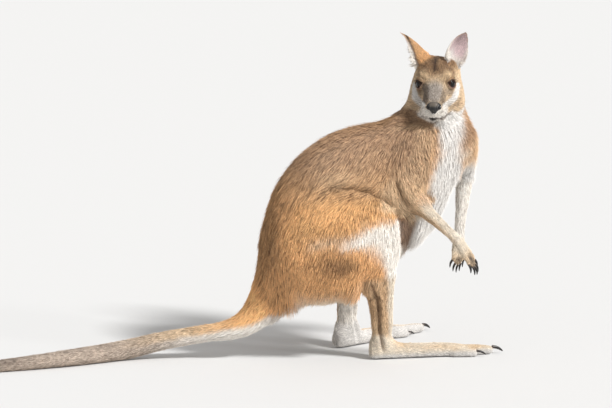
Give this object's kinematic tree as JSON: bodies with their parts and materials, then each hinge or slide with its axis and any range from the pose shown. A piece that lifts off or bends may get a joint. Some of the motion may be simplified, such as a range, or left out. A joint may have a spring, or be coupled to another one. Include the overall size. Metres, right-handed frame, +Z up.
{
  "type": "wallaby",
  "caption": "Life-size agile wallaby at rest on its hind feet and tail, chest and head turned back over its right shoulder, for use as a still animal figure.",
  "frame": {"origin": "middle of the outline seen from above, on the floor", "axes": "+X the way the hips face, from the tail tip to the toes; +Y the animal's left; +Z up"},
  "size_m": [0.9912, 0.3198, 0.5457],
  "materials": {
    "fur_tan": "short tan coat with grey-brown ticking, white below",
    "fur_pale": "short pale cream coat",
    "fur_hand": "very short dark brown coat",
    "fur_tail": "short grey-tan coat",
    "eye": "wet and dark brown",
    "nose": "bare moist black skin",
    "claw": "dark smooth horn"
  },
  "bodies": {
    "root": {"claw_big_left": "claw", "claw_big_right": "claw", "claw_grooming_1_left": "claw", "claw_grooming_1_right": "claw", "claw_grooming_2_left": "claw", "claw_grooming_2_right": "claw", "claw_hand_left_1": "claw", "claw_hand_left_2": "claw", "claw_hand_left_3": "claw", "claw_hand_left_4": "claw", "claw_hand_left_5": "claw", "claw_hand_right_1": "claw", "claw_hand_right_2": "claw", "claw_hand_right_3": "claw", "claw_hand_right_4": "claw", "claw_hand_right_5": "claw", "claw_outer_left": "claw", "claw_outer_right": "claw", "ear_left": "fur_tan", "ear_right": "fur_tan", "eye_left": "eye", "eye_right": "eye", "foot_left": "fur_pale", "foot_right": "fur_pale", "forearm_left": "fur_pale", "forearm_right": "fur_pale", "hand_left": "fur_hand", "hand_right": "fur_hand", "head": "fur_tan", "neck": "fur_tan", "nose": "nose", "shank_left": "fur_pale", "shank_right": "fur_tan", "tail_1": "fur_tan", "tail_2": "fur_tail", "tail_3": "fur_tail", "tail_4": "fur_tail", "thigh_left": "fur_tan", "thigh_right": "fur_tan", "toe_big_left": "fur_pale", "toe_big_right": "fur_pale", "toe_grooming_left": "fur_pale", "toe_grooming_right": "fur_pale", "toe_outer_left": "fur_pale", "toe_outer_right": "fur_pale", "trunk": "fur_tan", "upper_arm_left": "fur_tan", "upper_arm_right": "fur_tan"}
  },
  "joints": []
}
